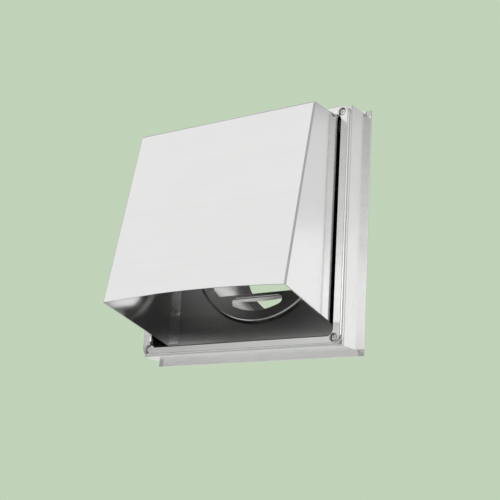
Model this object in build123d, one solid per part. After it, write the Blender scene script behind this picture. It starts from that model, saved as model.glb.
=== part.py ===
from build123d import *
import math
import os

# Wall vent cover: a sloped steel hood on a square base, over a louvred plate and a duct spigot.
# Millimetres. X is right, Y goes into the wall, Z is up. The origin is on the duct's axis, in the
# plane of the wall. A distance called "out" is measured from the wall towards the viewer, along -Y.

# Duct spigot: the duct that it fits sets the width of all the rest
spigot_r = 62.0
spigot_sheet = 0.8
spigot_reach = 55.0
spigot_turn_in = 8.0
spigot_end_bevel = 3.0
spigot_flange = 5.5
flange_gap = 0.6

# Louvre plate
plate_sheet = 1.0
slat_flat = 1.0
tongue_bend_r = 0.4
slot_rows_each_side = 4
slot_corner_r = 4.0
field_gap = 0.9
field_trim = 1.0
boss_rise = 2.8
boss_edge_r = 1.8

# Hood
hood_sheet = 1.0
hood_tab = 6.0
boss_to_tab = 11.9
hood_top_reach = 37.0
hood_lip_reach = 29.5
hood_lip_rise = 22.5
lip_arch = 3.0
hood_fold_r = 1.6
hood_knee_r = 3.0
hood_top_gap = 1.6
hood_low_gap = 3.0
tab_relief = 4.0

# Base frame
base_depth = 27.0
base_sheet = 0.8
base_fold_r = 1.2
base_return = 3.0
base_window_r = 22.0
wall_flange = 4.0

# Cover frame
cover_height = 3.5
cover_sheet = 0.8
cover_side_bar = 8.6
cover_end_bar = 8.0
cover_corner_r = 8.0
cover_opening_r = 5.0
cover_outer_roll = 2.0
cover_inner_bevel = 0.9
hood_side_gap = 1.6

# Corner screws and their nuts
screw_r = 1.5
screw_hole_gap = 0.2
screw_head_r = 2.6
screw_head_height = 1.6
screw_head_round = 0.6
screw_inset_x = 7.1
screw_inset_z = 6.1
screw_tip = 1.0
dimple_gap = 0.3
dimple_flare = 0.7
recess_width = 0.7
recess_length = 3.0
recess_depth = 0.8
nut_flats = 5.5
nut_height = 2.4
nut_gap = 0.05

# Rivets of the hood
rivet_r = 1.5
rivet_head_r = 2.5
rivet_head_height = 1.1
rivet_head_bevel = 0.7
rivet_hole_gap = 0.1
rivet_side_z = 56.0
rivet_top_x = 45.0

# Holes for the wall screws
fixing_hole_r = 2.25
fixing_x = 60.0

# Places that follow from the sizes above
bend_outer_r = tongue_bend_r + plate_sheet
slat_height = slat_flat + 2 * bend_outer_r
field_r = spigot_r - spigot_sheet - field_gap
slot_height = (field_r + field_trim - (slot_rows_each_side - 0.5) * slat_height) / slot_rows_each_side
slot_pitch = slot_height + slat_height
spigot_hole_r = spigot_r - spigot_turn_in
flange_r = spigot_r + spigot_flange
boss_r = flange_r + flange_gap + plate_sheet
boss_foot_r = boss_r + boss_rise
boss_out = plate_sheet + boss_rise

hood_half = boss_foot_r + boss_to_tab + hood_tab
opening_half_x = hood_half + hood_side_gap
frame_half = opening_half_x + cover_side_bar
opening_half_z = frame_half - cover_end_bar
plate_half = frame_half + wall_flange
window_half = frame_half - base_return

cover_out = base_depth + cover_height
hood_top_z = opening_half_z - hood_top_gap
hood_low_z = -(opening_half_z - hood_low_gap)
hood_lip_z = hood_low_z + hood_lip_rise
hood_knee_out = cover_out + hood_top_reach
hood_lip_out = hood_knee_out + hood_lip_reach
tab_out = plate_sheet + hood_sheet

screw_x = frame_half - screw_inset_x
screw_z = frame_half - screw_inset_z
screw_hole_r = screw_r + screw_hole_gap
dimple_floor_out = base_depth + cover_sheet
dimple_r = screw_head_r + dimple_gap
rivet_hole_r = rivet_r + rivet_hole_gap
rivet_inset = hood_sheet + (hood_tab - hood_sheet) / 2
fixing_z = (hood_top_z + window_half) / 2

corner_places = [(sx * screw_x, sz * screw_z) for sx in (-1, 1) for sz in (-1, 1)]
fixing_places = [(sx * fixing_x, sz * fixing_z) for sx in (-1, 1) for sz in (-1, 1)]
rivet_side_x = hood_half - rivet_inset
rivet_places = [(sx * rivet_side_x, sz * rivet_side_z) for sx in (-1, 1) for sz in (-1, 1)]
rivet_places += [(sx * rivet_top_x, hood_top_z - rivet_inset) for sx in (-1, 1)]


def prism(outline, low, high):
    """Extrude an outline drawn in X and Z between two distances out of the wall."""
    return extrude(Plane.XZ.offset(low) * outline, amount=high - low)


def drills(places, radius, low, high):
    """Round cutters at a list of X and Z places."""
    return [prism(Pos(x, z) * Circle(radius), low, high) for x, z in places]


def near(sketch, x, y):
    """The corner of a sketch that is nearest to a place."""
    return sketch.vertices().sort_by_distance((x, y, 0))[0]


def turned(sketch):
    """Revolve a section of radius and Y about the duct's axis."""
    return revolve(sketch, Axis.Y)


def slot_outline(centre_z):
    """One slot: a band of the round field, from its lower edge up to the start of the tongue's bend."""
    low = centre_z - slot_height / 2
    high = centre_z + slot_height / 2 + bend_outer_r
    band = Pos(0, (low + high) / 2) * Rectangle(2.5 * field_r, high - low)
    outline = Circle(field_r) & band
    return fillet(outline.vertices(), slot_corner_r)


def tongue(centre_z):
    """The slot's own metal, still joined along the slot's upper edge and folded square into the duct."""
    hinge_z = centre_z + slot_height / 2
    bend_y = -boss_out + bend_outer_r
    bend_z = hinge_z + bend_outer_r
    reach = slot_height + bend_outer_r
    ring = Circle(bend_outer_r) - Circle(tongue_bend_r)
    quarter = Pos(-bend_outer_r / 2, -bend_outer_r / 2) * Rectangle(bend_outer_r, bend_outer_r)
    leaf = Pos(reach / 2, plate_sheet / 2 - bend_outer_r) * Rectangle(reach, plate_sheet)
    section = Plane.YZ * (Pos(bend_y, bend_z) * ((ring & quarter) + leaf))
    folded = extrude(section, amount=field_r, both=True)
    flat = Pos(0, bend_z - boss_out) * mirror(slot_outline(centre_z), Plane.XZ)
    blank = extrude(Pos(0, 0, hinge_z - plate_sheet) * flat, amount=2 * bend_outer_r + plate_sheet)
    return folded & blank


def make_louvre_plate():
    """Square sheet with a pressed round boss, lanced slots, and holes for wall screws and rivets."""
    side = 2 * plate_half
    collar_r = boss_foot_r + boss_edge_r
    sheet = prism(Rectangle(side, side) - Circle(collar_r), 0, plate_sheet)
    thin = plate_sheet * math.tan(math.pi / 8)
    section = make_face(Polyline(
        (0, -boss_out), (boss_r, -boss_out), (boss_foot_r, -plate_sheet), (collar_r, -plate_sheet),
        (collar_r, 0), (boss_foot_r - thin, 0), (boss_r - thin, -boss_rise), (0, -boss_rise), close=True))
    section = fillet(near(section, boss_r, -boss_out), boss_edge_r)
    plate = sheet + turned(section)
    for row in range(slot_rows_each_side):
        centre_z = -(row + 0.5) * slot_pitch
        cut = prism(slot_outline(centre_z), boss_rise - plate_sheet, boss_out + plate_sheet)
        leaf = tongue(centre_z)
        plate = plate - cut + leaf
        plate = plate - mirror(cut, Plane.XY) + mirror(leaf, Plane.XY)
    plate -= drills(fixing_places, fixing_hole_r, -plate_sheet, 2 * plate_sheet)
    plate -= drills(rivet_places, rivet_hole_r, -plate_sheet, 2 * plate_sheet)
    return plate


def make_duct_spigot():
    """Drawn collar: a flange seated behind the boss, a straight wall and a bevelled, turned-in end."""
    inner_r = spigot_r - spigot_sheet
    front_y = -boss_rise
    back_y = front_y + spigot_sheet
    end_y = spigot_reach - spigot_sheet
    inner_bevel = spigot_end_bevel - (2 - math.sqrt(2)) * spigot_sheet
    section = make_face(Polyline(
        (flange_r, front_y), (inner_r, front_y), (inner_r, end_y), (spigot_hole_r, end_y),
        (spigot_hole_r, spigot_reach), (spigot_r, spigot_reach), (spigot_r, back_y), (flange_r, back_y), close=True))
    section = chamfer(near(section, inner_r, end_y), inner_bevel)
    section = chamfer(near(section, spigot_r, spigot_reach), spigot_end_bevel)
    return turned(section)


def hood_block(half, corners, knee_r, side_r):
    """A block of the hood's side outline, with a bend from top to front and rounded folds to the sides."""
    outline = make_face(Polyline(*corners, close=True))
    outline = fillet(near(outline, *corners[2]), knee_r)
    block = extrude(Plane.YZ * outline, amount=half, both=True)
    rear = block.faces().sort_by(Axis.Y)[-1].edges()
    under = block.faces().sort_by(Axis.Z)[0].edges()
    ends = block.faces().sort_by(Axis.X)[0].edges() + block.faces().sort_by(Axis.X)[-1].edges()
    return fillet([edge for edge in ends if edge not in rear + under], side_r)


def make_hood():
    """One folded sheet: top, sloped front and two sides, with tabs turned in along the plate."""
    drop = hood_top_z - hood_lip_z
    slope = math.hypot(drop, hood_lip_reach)
    inner_knee_y = -hood_knee_out + hood_sheet * (slope - hood_lip_reach) / drop
    run_on = (hood_lip_rise + drop) / drop
    outer = [(-plate_sheet, hood_low_z), (-plate_sheet, hood_top_z), (-hood_knee_out, hood_top_z),
             (-hood_lip_out, hood_lip_z)]
    inner = [(plate_sheet, hood_low_z - drop), (plate_sheet, hood_top_z - hood_sheet),
             (inner_knee_y, hood_top_z - hood_sheet),
             (inner_knee_y - hood_lip_reach * run_on, hood_top_z - hood_sheet - drop * run_on)]
    shell = hood_block(hood_half, outer, hood_knee_r, hood_fold_r)
    shell -= hood_block(hood_half - hood_sheet, inner, hood_knee_r - hood_sheet, hood_fold_r - hood_sheet)
    side_height = hood_top_z - hood_low_z - 2 * tab_relief - hood_fold_r
    side_middle = (hood_top_z + hood_low_z) / 2
    side_tab = Rectangle(hood_tab, side_height)
    top_tab = Rectangle(2 * (hood_half - hood_tab - tab_relief), hood_tab)
    for side in (-1, 1):
        shell += prism(Pos(side * (hood_half - hood_tab / 2), side_middle) * side_tab, plate_sheet, tab_out)
    shell += prism(Pos(0, hood_top_z - hood_tab / 2) * top_tab, plate_sheet, tab_out)
    arch_half = hood_half - hood_fold_r
    lip = ThreePointArc((-arch_half, hood_lip_z), (0, hood_lip_z + lip_arch), (arch_half, hood_lip_z))
    under = Polyline((arch_half, hood_lip_z), (arch_half, hood_low_z), (-arch_half, hood_low_z),
                     (-arch_half, hood_lip_z))
    shell -= prism(make_face([lip, under]), hood_knee_out, hood_lip_out + hood_sheet)
    shell -= drills(rivet_places, rivet_hole_r, 0, 2 * tab_out)
    return shell


def make_hood_rivets():
    """Low-headed rivets through the tabs, finished flush with the back of the plate."""
    crown_out = tab_out + rivet_head_height
    rivet = prism(Circle(rivet_head_r), tab_out, crown_out)
    rivet = chamfer(rivet.faces().sort_by(Axis.Y)[0].edges(), rivet_head_bevel)
    rivet += prism(Circle(rivet_r), 0, tab_out)
    return Compound([Pos(x, 0, z) * rivet for x, z in rivet_places])


def make_base_frame():
    """Folded box: a narrow front return with wide corners, four walls and a flange against the plate."""
    outer = Rectangle(2 * frame_half, 2 * frame_half)
    inner = Rectangle(2 * (frame_half - base_sheet), 2 * (frame_half - base_sheet))
    body = prism(outer, plate_sheet, base_depth)
    front = body.faces().sort_by(Axis.Y)[0]
    body = fillet(front.edges(), base_fold_r)
    body -= prism(inner, 0, base_depth - base_sheet)
    body -= prism(RectangleRounded(2 * window_half, 2 * window_half, base_window_r), 0, 2 * base_depth)
    strip = Rectangle(2 * wall_flange, 2 * (frame_half - base_fold_r))
    for turn in range(4):
        flange = prism(Pos(frame_half, 0) * strip - outer, plate_sheet, plate_sheet + base_sheet)
        body += Rot(0, 90 * turn, 0) * flange
    return body - drills(corner_places, screw_hole_r, 0, 2 * base_depth)


def make_weld_nuts():
    """Hexagon nuts on the back of the base frame's front return."""
    high = base_depth - base_sheet
    nut = RegularPolygon(nut_flats / 2, 6, major_radius=False) - Circle(screw_r + nut_gap)
    return Compound([prism(Pos(x, z) * nut, high - nut_height, high) for x, z in corner_places])


def make_cover_frame():
    """Pressed ring of channel section with rolled edges and a dimple for each corner screw."""
    outer = RectangleRounded(2 * frame_half, 2 * frame_half, cover_corner_r)
    opening = RectangleRounded(2 * opening_half_x, 2 * opening_half_z, cover_opening_r)
    body = prism(outer, base_depth, cover_out)
    body = fillet(body.faces().sort_by(Axis.Y)[0].edges(), cover_outer_roll)
    body -= prism(opening, 0, 2 * cover_out)
    front = body.faces().sort_by(Axis.Y)[0]
    body = chamfer(front.inner_wires()[0].edges(), cover_inner_bevel)
    inside = offset(outer, -cover_sheet) - offset(opening, cover_sheet)
    cavity = prism(inside, base_depth - cover_sheet, cover_out - cover_sheet)
    roof = cavity.faces().sort_by(Axis.Y)[0]
    cavity = chamfer(roof.outer_wire().edges(), cover_outer_roll - cover_sheet)
    top_r = dimple_r + dimple_flare
    dimple = turned(make_face(Polyline(
        (0, -base_depth), (dimple_r + cover_sheet, -base_depth), (top_r + cover_sheet, -cover_out),
        (0, -cover_out), close=True)))
    hollow = turned(make_face(Polyline(
        (0, -dimple_floor_out), (dimple_r, -dimple_floor_out), (top_r, -cover_out),
        (top_r, -cover_out - cover_sheet), (0, -cover_out - cover_sheet), close=True)))
    cover = body - cavity
    for x, z in corner_places:
        cover = cover + (body & (Pos(x, 0, z) * dimple)) - Pos(x, 0, z) * hollow
    return cover - drills(corner_places, screw_hole_r, 0, 2 * cover_out)


def make_corner_screws():
    """Small pan-head screws with a cross recess, seated on the floor of the dimples."""
    head_out = dimple_floor_out + screw_head_height
    tip_out = base_depth - base_sheet - nut_height - screw_tip
    head = prism(Circle(screw_head_r), dimple_floor_out, head_out)
    head = chamfer(head.faces().sort_by(Axis.Y)[0].edges(), screw_head_round)
    cross = Rectangle(recess_length, recess_width) + Rectangle(recess_width, recess_length)
    screw = head - prism(cross, head_out - recess_depth, head_out + recess_depth)
    screw += prism(Circle(screw_r), tip_out, dimple_floor_out)
    return Compound([Pos(x, 0, z) * screw for x, z in corner_places])


pieces = {
    "louvre_plate": make_louvre_plate,
    "duct_spigot": make_duct_spigot,
    "hood": make_hood,
    "hood_rivets": make_hood_rivets,
    "base_frame": make_base_frame,
    "weld_nuts": make_weld_nuts,
    "cover_frame": make_cover_frame,
    "corner_screws": make_corner_screws,
}

os.makedirs("parts", exist_ok=True)
for name, make in pieces.items():
    export_step(make(), f"parts/{name}.step")
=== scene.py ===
# %% [markdown]
# A wall vent cover in sheet steel
#
# The cover has a sloped hood over a louvred plate, a pressed ring round the hood, a folded base on the
# wall and a round spigot that goes into the duct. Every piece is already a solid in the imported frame,
# so this lesson leaves the shapes alone and gives each piece the finish that its sheet would have.
# Lengths are in metres. X is right, Y goes into the wall and Z is up.

# %% Load the frame
import math

import bpy
import numpy as np
from mathutils import Matrix, Vector


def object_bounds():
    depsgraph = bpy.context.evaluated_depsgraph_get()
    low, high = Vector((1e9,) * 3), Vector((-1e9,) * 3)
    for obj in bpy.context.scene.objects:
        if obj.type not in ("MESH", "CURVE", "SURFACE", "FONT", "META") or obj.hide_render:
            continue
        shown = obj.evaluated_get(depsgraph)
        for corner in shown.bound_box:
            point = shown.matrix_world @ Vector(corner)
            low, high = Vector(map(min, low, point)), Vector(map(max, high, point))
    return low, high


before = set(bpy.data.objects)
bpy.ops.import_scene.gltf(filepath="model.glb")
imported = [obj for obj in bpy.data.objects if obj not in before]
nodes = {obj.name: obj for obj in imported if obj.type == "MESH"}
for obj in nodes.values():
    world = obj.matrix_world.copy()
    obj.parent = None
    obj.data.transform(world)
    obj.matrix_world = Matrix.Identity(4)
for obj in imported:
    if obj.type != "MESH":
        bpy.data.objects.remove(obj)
cad_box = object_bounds()
print("nodes:", ", ".join(sorted(nodes)))
print("box in mm:", [round(1000 * side) for side in cad_box[1] - cad_box[0]])

# %% [markdown]
# Shader maths in plain expressions
#
# A finish is a sum of simple patterns. Its node tree could be written as a long list of nodes and
# links, but such a list is hard to read. Here a socket is wrapped in a small class, so that it can be
# added and multiplied as a number is, and each sign adds the Math node that does the work.


# %% Sockets that take part in expressions
class Signal:
    """A shader socket that understands +, - and *, with a plain number on either side."""

    def __init__(self, wiring, socket):
        self.wiring = wiring
        self.socket = socket

    def math(self, operation, first, second):
        return self.wiring.node("ShaderNodeMath", {"operation": operation}, {0: first, 1: second})

    def __add__(self, other):
        return self.math("ADD", self, other)

    def __radd__(self, other):
        return self.math("ADD", other, self)

    def __sub__(self, other):
        return self.math("SUBTRACT", self, other)

    def __rsub__(self, other):
        return self.math("SUBTRACT", other, self)

    def __mul__(self, other):
        return self.math("MULTIPLY", self, other)

    def __rmul__(self, other):
        return self.math("MULTIPLY", other, self)


print("signs that add a Math node: + - *")

# %% [markdown]
# One way to add a node
#
# Every other node, in a finish or in the room, comes from one method. Settings go on a node before its
# sockets, because some settings decide which sockets it has, and each socket then gets a plain value
# or a link. A finish is such a tree with one shader at its end. It reads Object coordinates, so that a
# pattern has its true size and stays where it is on the piece.


# %% Trees of nodes
class Wiring:
    """A node tree that is filled through one method."""

    def __init__(self, tree):
        self.tree = tree

    def node(self, kind, settings=None, sockets=None, output=0):
        made = self.tree.nodes.new(kind)
        for name, value in (settings or {}).items():
            setattr(made, name, value)
        for name, value in (sockets or {}).items():
            self.feed(made.inputs[name], value)
        return Signal(self, made.outputs[output])

    def feed(self, socket, value):
        if isinstance(value, Signal):
            self.tree.links.new(value.socket, socket)
        else:
            socket.default_value = value


class Finish(Wiring):
    """A procedural material: one Principled shader and the nodes that feed it."""

    def __init__(self, name):
        self.material = bpy.data.materials.new(name)
        self.material.use_nodes = True
        super().__init__(self.material.node_tree)
        self.shader = self.tree.nodes["Principled BSDF"]
        self.place = self.node("ShaderNodeTexCoord", output="Object")

    def set(self, **sockets):
        for name, value in sockets.items():
            self.feed(self.shader.inputs[name.replace("_", " ")], value)


print("trees that can be wired: a finish, and the room")

# %% [markdown]
# What marks a steel sheet
#
# A cold-rolled sheet is never one even grey. The rolls leave long faint lines, hands and the press
# leave soft cloudy patches, and handling leaves a few fine scratches. A picture of brushed metal could
# show them, but it would repeat and would need a map on every face. Noise has no edge and no seam, so
# every mark here is noise: stretched for the lines, left round for the clouds, and cut off near its
# top for the scratches.

# %% Lines and clouds
# How many finer noises are added to a noise, and the value that it varies about
smooth = 0.0
plain = 1.0
rich = 3.0
noise_middle = 0.5

# Waves to the metre along X, Y and Z for lines that run level, and the bands among them
level_lines = (9, 9, 900)
band_spacing = 0.16
band_strength = 0.8
cloud_size = 0.05


def patch(finish, per_metre, detail, turn=(0, 0, 0)):
    """Noise with its own number of waves to the metre along X, Y and Z, turned, and centred on zero."""
    spread = finish.node("ShaderNodeMapping", None,
                         {"Vector": finish.place, "Rotation": turn, "Scale": per_metre})
    noise = finish.node("ShaderNodeTexNoise", {"noise_dimensions": "3D"},
                        {"Vector": spread, "Scale": 1.0, "Detail": detail})
    return noise - noise_middle


def rolling_lines(finish, across):
    """Fine lines plus broad bands that run the same way: two stretched noises, the second one weaker."""
    bands = tuple(band_spacing * waves for waves in across)
    return patch(finish, across, rich) + band_strength * patch(finish, bands, plain)


def hand_clouds(finish, size=cloud_size):
    """Soft round patches: noise with one wave to each size, along every axis."""
    waves = 1 / size
    return patch(finish, (waves, waves, waves), rich)


print("lines about", round(1000 / level_lines[2], 1), "mm apart")
print("clouds about", round(1000 * cloud_size), "mm across")

# %% [markdown]
# Scratches
#
# A scratch is far longer than it is wide and there are only a few. Drawing each one as a curve would
# take a mesh of its own. A noise that is stretched a hundred times longer than wide already looks like
# a bundle of hairs, and keeping only its highest crests leaves a few of them. Two turned copies cross
# each other.

# %% Scratches
scratch_waves = (1400, 1400, 14)
scratch_turns = ((0.3, 0.2, 0.9), (1.1, 0.7, 0.2))
crest_start = 0.23
crest_full = 0.30


def scratches(finish, turn):
    """Sparse hairlines: 0 below the start of the crests of a stretched noise, rising smoothly to 1."""
    crests = patch(finish, scratch_waves, smooth, turn)
    return finish.node("ShaderNodeMapRange", {"interpolation_type": "SMOOTHSTEP"},
                       {"Value": crests, "From Min": crest_start, "From Max": crest_full})


print("scratches up to about", round(1000 / scratch_waves[2]), "mm long")

# %% [markdown]
# The steel recipe
#
# One grey with a low roughness would look moulded. On real sheet a paler line is also a duller one, so
# the same lines and clouds set the colour and the roughness, and the scratches add to the roughness
# alone. A thin panel is never dead flat either: slow waves, a fraction of a millimetre high, go into a
# Bump node with a trace of the lines, and they bend the reflections as a folded panel does.

# %% Steel
tone_middle = 0.5
tone_swing = 0.9
panel_waves = (11, 11, 11)
wave_height = 0.0002
line_relief = 0.002

# A Mix node lists its sockets for numbers, for vectors and for colours one after another
mix_low = 6
mix_high = 7
mix_result = 2


def between(finish, low, high, share):
    """The colour that lies a share of the way from one colour to another."""
    return finish.node("ShaderNodeMix", {"data_type": "RGBA", "clamp_factor": True},
                       {"Factor": share, mix_low: (*low, 1.0), mix_high: (*high, 1.0)}, mix_result)


def steel(name, dark, light, gloss, across=level_lines, lines=0.05, clouds=0.05, scuffs=0.06):
    """Sheet metal: its tone is a middle tone plus the lines and clouds, and its roughness is the gloss
    value plus a share of the lines, of the clouds and of the scratches."""
    finish = Finish(name)
    grain = rolling_lines(finish, across)
    cloud = hand_clouds(finish)
    marks = scratches(finish, scratch_turns[0]) + scratches(finish, scratch_turns[1])
    tone = tone_middle + tone_swing * grain + tone_swing * cloud
    rough = gloss + lines * grain + clouds * cloud + scuffs * marks
    waves = patch(finish, panel_waves, plain)
    relief = waves + line_relief * grain
    flatness = finish.node("ShaderNodeBump", None,
                           {"Strength": 1.0, "Distance": wave_height, "Height": relief}, output="Normal")
    finish.set(Base_Color=between(finish, dark, light, tone), Roughness=rough, Normal=flatness)
    finish.set(Metallic=1.0)
    print(name, "has a roughness of about", gloss, "and", len(finish.tree.nodes), "nodes")
    return finish


print("panel waves about", round(1000 / panel_waves[0]), "mm long")

# %% [markdown]
# The hood
#
# The hood is the piece that is seen first: bright, almost mirror-like stainless sheet, folded at the
# knee and at the sides. A glossy white paint would come near it from one side only, because paint
# doesn't show the room. A pale metal with low roughness does. The lines are kept faint, because the
# sheet is polished after rolling, and they run level, since the noise changes quickly with height and
# slowly along the sheet.

# %% Hood finish
hood_steel = steel("hood_steel", (0.64, 0.64, 0.64), (0.67, 0.67, 0.67), gloss=0.14,
                   lines=0.02, clouds=0.04)

# %% [markdown]
# The cover ring and the base
#
# The ring is pressed from softer strip, so its grain is a little stronger and it is duller than the
# hood. The base is folded from a sheet with a plain mill finish, so its lines are the strongest of the
# three. Each could have a recipe of its own, but they differ only in tone, gloss and spacing, so one
# recipe serves. The base's lines follow X, so they run along its upper and lower walls and are a fine
# grain on the others.

# %% Ring and base finishes
cover_steel = steel("cover_steel", (0.60, 0.60, 0.60), (0.71, 0.71, 0.70), gloss=0.18)
base_steel = steel("base_steel", (0.61, 0.61, 0.61), (0.70, 0.70, 0.69), gloss=0.20,
                   across=(12, 420, 420), lines=0.06)

# %% [markdown]
# The louvre plate and the spigot
#
# The plate sits deep in the hood's shade. Its sheet is duller than the hood's, and its colour is darker
# as painted shade for the dark inside of the hood. Its lines run level, across the slots. The spigot is
# drawn from a round blank, which stretches the sheet along the duct, so its lines follow the duct's axis
# and change quickly round it. A map wrapped round the tube could give that too, but stretching the noise
# along Y needs no map.

# %% Plate and spigot finishes
# The plate's darker colour is painted shade for the dark inside of the hood; its higher roughness is the
# sheet's own
plate_steel = steel("plate_steel", (0.42, 0.42, 0.42), (0.47, 0.47, 0.46), gloss=0.22,
                    lines=0.03, clouds=0.04, scuffs=0.01)
spigot_steel = steel("spigot_steel", (0.60, 0.60, 0.60), (0.72, 0.72, 0.71), gloss=0.30,
                     across=(520, 8, 520), lines=0.08, clouds=0.06)

# %% [markdown]
# Screws, nuts and rivets
#
# Small fasteners are turned or headed and then tumbled, which leaves a fine even grain with no
# direction. A pattern of its own isn't needed: the steel recipe gives that grain when the noise has as
# many waves along every axis.

# %% Fastener finish
fastener_steel = steel("fastener_steel", (0.66, 0.66, 0.65), (0.76, 0.76, 0.75), gloss=0.36,
                       across=(800, 800, 800), lines=0.10, clouds=0.04)

# %% [markdown]
# Finishes on the pieces
#
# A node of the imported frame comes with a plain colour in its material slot. Its mesh is right as it
# is, so only the slot changes. The three kinds of fastener share one finish, as they would come from
# one bin.

# %% Put the finishes on the nodes
finishes = {
    "hood": hood_steel,
    "cover_frame": cover_steel,
    "base_frame": base_steel,
    "louvre_plate": plate_steel,
    "duct_spigot": spigot_steel,
    "hood_rivets": fastener_steel,
    "weld_nuts": fastener_steel,
    "corner_screws": fastener_steel,
}
for name, finish in finishes.items():
    mesh = nodes[name].data
    mesh.materials.clear()
    mesh.materials.append(finish.material)
print("finished nodes:", len(finishes), "of", len(nodes))

# %% [markdown]
# The floor
#
# The cover hangs on a wall and is seen from below, so the floor lies well under it. A plain pale floor
# throws a soft light up into the hood. It could be one large face. A grid with a faint cloud in its
# colour was chosen, so that it isn't dead even where another view shows it.

# %% Floor
floor_drop = 1.5
floor_half = 4.0
floor_cells = 16
floor_dark = (0.70, 0.72, 0.68)
floor_light = (0.76, 0.78, 0.74)
floor_cloud = 0.6
floor_roughness = 0.9


def level_grid(half, height, cells):
    """A level square: X and Y run evenly from -half to half, and Z is the height everywhere."""
    line = np.linspace(-half, half, cells + 1)
    x, y = np.meshgrid(line, line, indexing="ij")
    points = np.stack([x.ravel(), y.ravel(), np.full(x.size, height)], axis=1)
    corner = np.arange(x.size).reshape(x.shape)
    faces = np.stack([corner[:-1, :-1], corner[1:, :-1], corner[1:, 1:], corner[:-1, 1:]], axis=-1)
    return points, faces.reshape(-1, 4)


points, faces = level_grid(floor_half, -floor_drop, floor_cells)
floor_mesh = bpy.data.meshes.new("floor")
floor_mesh.from_pydata(points.tolist(), [], faces.tolist())
floor = bpy.data.objects.new("floor", floor_mesh)
bpy.context.scene.collection.objects.link(floor)
floor_paint = Finish("floor_paint")
floor_tone = tone_middle + hand_clouds(floor_paint, floor_cloud)
floor_colour = between(floor_paint, floor_dark, floor_light, floor_tone)
floor_paint.set(Base_Color=floor_colour, Roughness=floor_roughness)
floor_mesh.materials.append(floor_paint.material)
print("floor is", floor_drop, "m under the duct's axis, with", len(faces), "faces")

# %% [markdown]
# Lamps for bare steel
#
# Bare steel shows what stands round it. Small lamps would be hard bright spots in it, so the lamps are
# large soft panels, each placed where one face of the cover mirrors it to the camera. A panel's power
# follows from the brightness that its face should have, so that a larger panel isn't a brighter one.
# The camera itself doesn't see the panels.


# %% Soft lamps
middle = (cad_box[0] + cad_box[1]) / 2


def soft_lamp(name, direction, away, wide, tall, level):
    """A flat lamp that faces the object. Its power is pi times its area times its face's brightness."""
    lamp = bpy.data.lights.new(name, "AREA")
    lamp.shape = "RECTANGLE"
    lamp.size = wide
    lamp.size_y = tall
    lamp.energy = math.pi * wide * tall * level
    holder = bpy.data.objects.new(name, lamp)
    toward = Vector(direction).normalized()
    holder.location = middle + away * toward
    holder.rotation_mode = "QUATERNION"
    holder.rotation_quaternion = toward.to_track_quat("Z", "Y")
    holder.visible_camera = False
    bpy.context.scene.collection.objects.link(holder)
    print(name, round(lamp.energy, 2), "W")


print("lamps face", [round(1000 * part) for part in middle], "in mm")

# %% Lamps for the hood's front and side
soft_lamp("front_panel_lamp", (-0.57, -0.62, 0.54), away=1.7, wide=1.55, tall=1.55, level=0.62)
soft_lamp("side_panel_lamp", (0.58, 0.78, 0.11), away=1.6, wide=1.1, tall=1.1, level=0.40)
soft_lamp("side_low_lamp", (0.58, 0.78, -0.02), away=1.6, wide=1.0, tall=1.0, level=0.26)

# %% [markdown]
# Lamps for the ring, the base and the duct
#
# The ring and the base mirror a lamp twice, once in the face beside them, and each mirror takes a part
# of the light, so three of these lamps are the brightest of all. They are low panels that stay clear
# of the directions that the inside of the hood mirrors, because that inside has to stay dark. The duct
# gets its own lamp from behind, as a room would light it, and a weak one stands over the top.

# %% Lamps for the other pieces
soft_lamp("ring_lamp", (0.58, -0.78, 0.24), away=1.6, wide=1.1, tall=0.68, level=0.70)
soft_lamp("ring_low_lamp", (0.58, -0.78, 0.17), away=1.6, wide=1.0, tall=0.24, level=1.0)
soft_lamp("low_front_lamp", (-0.57, -0.80, -0.30), away=1.6, wide=0.9, tall=0.25, level=1.55)
soft_lamp("under_lamp", (-0.56, 0.79, -0.24), away=1.7, wide=1.0, tall=1.0, level=0.35)
soft_lamp("duct_lamp", (-0.32, 0.79, 0.53), away=0.8, wide=0.6, tall=0.6, level=0.80)
soft_lamp("top_lamp", (0.10, -0.10, 1.0), away=1.7, wide=1.4, tall=1.4, level=0.45)

# %% [markdown]
# The room
#
# The room could be a box of walls, but a world shader needs no mesh and can tell rays apart. The
# camera sees a plain pale green. The reflections see pale walls without the tint and, low in front, a
# dark shade, which leaves the inside of the hood dark. All other light is an even soft fill.


# %% Parts of the room
world = bpy.data.worlds.new("room")
bpy.context.scene.world = world
world.use_nodes = True
room = Wiring(world.node_tree)


def glow(colour, strength=1.0):
    """One plain colour from every direction."""
    return room.node("ShaderNodeBackground", None, {"Color": (*colour, 1.0), "Strength": strength})


def choose(share, first, second):
    """A mix of two lights: the first where the share is 0, the second where it is 1."""
    return room.node("ShaderNodeMixShader", None, {0: share, 1: first, 2: second})


def rising(axis, low, high):
    """How far a direction points along an axis: 0 under the low value, 1 over the high one, smoothly."""
    direction = room.node("ShaderNodeTexCoord", output="Generated")
    part = room.node("ShaderNodeSeparateXYZ", None, {"Vector": direction}, output=axis)
    return room.node("ShaderNodeMapRange", {"interpolation_type": "SMOOTHSTEP"},
                     {"Value": part, "From Min": low, "From Max": high})


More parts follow.
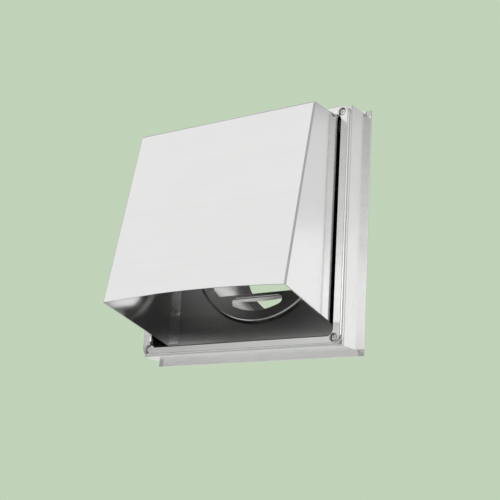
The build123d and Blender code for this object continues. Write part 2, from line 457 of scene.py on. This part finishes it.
def ray(kind):
    """1 for rays of the named kind and 0 for all others."""
    return room.node("ShaderNodeLightPath", output=kind)


print("room:", world.name)

# %% Background
# Where the shade ends, as parts of a direction of length 1: towards the wall along Y, and upwards along Z
front_edge = (-0.40, -0.10)
shade_top = (-0.02, 0.10)

soft_fill = glow((0.82, 0.83, 0.82), 0.85)
pale_walls = glow((0.565, 0.57, 0.56))
far_shade = glow((0.15, 0.15, 0.15))
backdrop = glow((0.53, 0.65, 0.48))
below = choose(rising("Y", *front_edge), far_shade, pale_walls)
mirrored = choose(rising("Z", *shade_top), below, pale_walls)
lit = choose(ray("Is Glossy Ray"), soft_fill, mirrored)
lit = choose(ray("Is Transmission Ray"), lit, mirrored)
lit = choose(ray("Is Camera Ray"), lit, backdrop)
room.feed(room.tree.nodes["World Output"].inputs["Surface"], lit)
print("room nodes:", len(room.tree.nodes))

# %% [markdown]
# The camera
#
# The photograph looks up at the cover from below and from its right, with a long lens and a slight
# lean. A camera could be aimed with a constraint, but that can't lean. It is placed by its angles
# instead: a direction of view, a lean about it, and a distance back from the point that it looks at.

# %% Camera
view_round = math.radians(35.491)
view_rise = math.radians(15.327)
view_lean = math.radians(3.539)
view_distance = 0.8812
view_aim = Vector((0.00815, -0.02927, -0.01462))
lens_mm = 75.74
sensor_mm = 36

forward = Vector((-math.sin(view_round) * math.cos(view_rise),
                  math.cos(view_round) * math.cos(view_rise), math.sin(view_rise)))
level_right = Vector((math.cos(view_round), math.sin(view_round), 0))
level_up = level_right.cross(forward)
right = math.cos(view_lean) * level_right + math.sin(view_lean) * level_up
up = right.cross(forward)

camera_data = bpy.data.cameras.new("camera")
camera_data.sensor_width = sensor_mm
camera_data.lens = lens_mm
camera = bpy.data.objects.new("camera", camera_data)
turn = Matrix((right, up, -forward)).transposed().to_4x4()
camera.matrix_world = Matrix.Translation(view_aim - view_distance * forward) @ turn
bpy.context.scene.collection.objects.link(camera)
bpy.context.scene.camera = camera
bpy.context.scene.view_settings.view_transform = "Standard"
print("camera at", [round(value, 3) for value in camera.matrix_world.translation])
